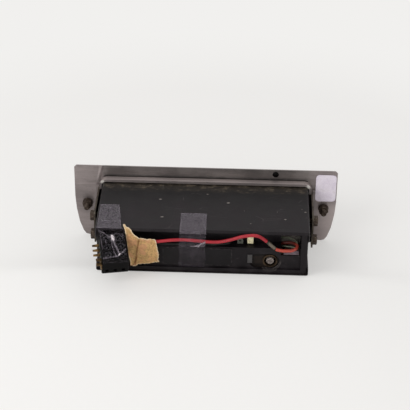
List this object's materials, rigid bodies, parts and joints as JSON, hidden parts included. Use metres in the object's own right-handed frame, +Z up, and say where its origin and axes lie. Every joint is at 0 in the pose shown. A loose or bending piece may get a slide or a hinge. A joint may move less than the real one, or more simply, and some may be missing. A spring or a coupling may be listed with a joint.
{
  "type": "car radio",
  "caption": "Old push-button car radio behind its sheet-metal dash plate, with dial, turning knobs, antenna socket and a taped loose plug at the rear.",
  "frame": {"origin": "under the middle of the whole radio, level with the dash plate's lower edge", "axes": "+X to the right as seen from behind, +Y out through the dial towards the driver, +Z up"},
  "size_m": [0.232, 0.146, 0.072],
  "materials": {
    "bare_steel": "bare pressed sheet steel, dull",
    "rusty_screw": "steel screws, dirty and rusty",
    "white_paper": "blank paper label",
    "black_paint": "charcoal paint on sheet steel",
    "zinc": "plated or light metal, satin",
    "brass": "tarnished",
    "black_plastic": "black moulded plastic",
    "cream_plastic": "cream",
    "grey_plastic": "grey green",
    "red_plastic": "red insulation",
    "kraft_paper": "brown paper tape",
    "clear_plastic": "clear film and clear plastic",
    "chrome": "polished",
    "lit_scale": "printed dial plate",
    "board_laminate": "brown laminate"
  },
  "bodies": {
    "radio": {"antenna_contact": "brass", "antenna_socket": "zinc", "audio_transformer": "zinc", "bezel": "chrome", "black_lead": "black_plastic", "bottom_cover": "black_paint", "chassis": "black_paint", "circuit_board": "board_laminate", "clear_tape_left": "clear_plastic", "clear_tape_middle": "clear_plastic", "coil_block": "zinc", "cream_capacitor": "cream_plastic", "dash_plate": "bare_steel", "dial_glass": "clear_plastic", "dial_lamp": "clear_plastic", "dial_scale": "lit_scale", "gear_axle": "zinc", "grey_trimmer": "grey_plastic", "heat_sink": "zinc", "if_can_1": "zinc", "if_can_2": "zinc", "kraft_tape": "kraft_paper", "left_bracket": "bare_steel", "left_lower_bolt": "rusty_screw", "left_nut": "rusty_screw", "left_stud": "rusty_screw", "left_upper_bolt": "rusty_screw", "paper_sticker": "white_paper", "plug_body": "black_plastic", "plug_contact_1": "brass", "plug_contact_2": "brass", "plug_contact_3": "brass", "pointer_rail": "zinc", "rear_label": "black_plastic", "rear_panel": "black_paint", "red_lead": "red_plastic", "right_bracket": "bare_steel", "right_lower_bolt": "rusty_screw", "right_nut": "rusty_screw", "right_stud": "rusty_screw", "right_upper_bolt": "rusty_screw", "splice_sleeve": "grey_plastic", "supply_capacitor": "zinc", "supply_loop": "red_plastic", "top_cover": "black_paint", "tuning_bearing": "zinc", "volume_control": "zinc"},
    "volume": {"volume_knob": "black_plastic", "volume_shaft": "zinc"},
    "tone": {"tone_ring": "chrome"},
    "tuning": {"tuning_knob": "black_plastic", "tuning_shaft": "zinc"},
    "gear": {"tuning_gear": "brass"},
    "cores": {"core_carriage": "zinc"},
    "pointer": {"pointer": "red_plastic"},
    "key_1": {"preset_key_1": "black_plastic"},
    "key_2": {"preset_key_2": "black_plastic"},
    "key_3": {"preset_key_3": "black_plastic"},
    "key_4": {"preset_key_4": "black_plastic"},
    "key_5": {"preset_key_5": "black_plastic"}
  },
  "joints": [
    {"name": "volume_turn", "type": "hinge", "parent": "radio", "child": "volume", "pos_m": [-0.0715, 0, 0.03925], "axis": [0, -1, 0], "range_deg": [0, 285]},
    {"name": "tone_turn", "type": "hinge", "parent": "radio", "child": "tone", "pos_m": [-0.0715, 0, 0.03925], "axis": [0, -1, 0], "range_deg": [-135, 135]},
    {"name": "tuning_turn", "type": "hinge", "parent": "radio", "child": "tuning", "pos_m": [0.0715, 0, 0.03925], "axis": [0, -1, 0], "range_deg": [-270, 270]},
    {"name": "gear_turn", "type": "hinge", "parent": "radio", "child": "gear", "pos_m": [0.05402, 0, 0.03925], "axis": [0, -1, 0], "range_deg": [-56.4, 56.4]},
    {"name": "core_slide", "type": "slide", "parent": "radio", "child": "cores", "axis": [1, 0, 0], "range_m": [-0.0142, 0.0142]},
    {"name": "pointer_slide", "type": "slide", "parent": "radio", "child": "pointer", "axis": [-1, 0, 0], "range_m": [-0.0381, 0.0381]},
    {"name": "key_1_press", "type": "slide", "parent": "radio", "child": "key_1", "axis": [0, -1, 0], "range_m": [0, 0.005], "stiffness_N_per_m": 300},
    {"name": "key_2_press", "type": "slide", "parent": "radio", "child": "key_2", "axis": [0, -1, 0], "range_m": [0, 0.005], "stiffness_N_per_m": 300},
    {"name": "key_3_press", "type": "slide", "parent": "radio", "child": "key_3", "axis": [0, -1, 0], "range_m": [0, 0.005], "stiffness_N_per_m": 300},
    {"name": "key_4_press", "type": "slide", "parent": "radio", "child": "key_4", "axis": [0, -1, 0], "range_m": [0, 0.005], "stiffness_N_per_m": 300},
    {"name": "key_5_press", "type": "slide", "parent": "radio", "child": "key_5", "axis": [0, -1, 0], "range_m": [0, 0.005], "stiffness_N_per_m": 300}
  ],
  "couplings": [
    {"joint": "gear_turn", "follows": "tuning_turn", "ratio": -0.20833},
    {"joint": "core_slide", "follows": "tuning_turn", "m_per_rad": 0.003},
    {"joint": "pointer_slide", "follows": "tuning_turn", "m_per_rad": 0.0080639}
  ]
}
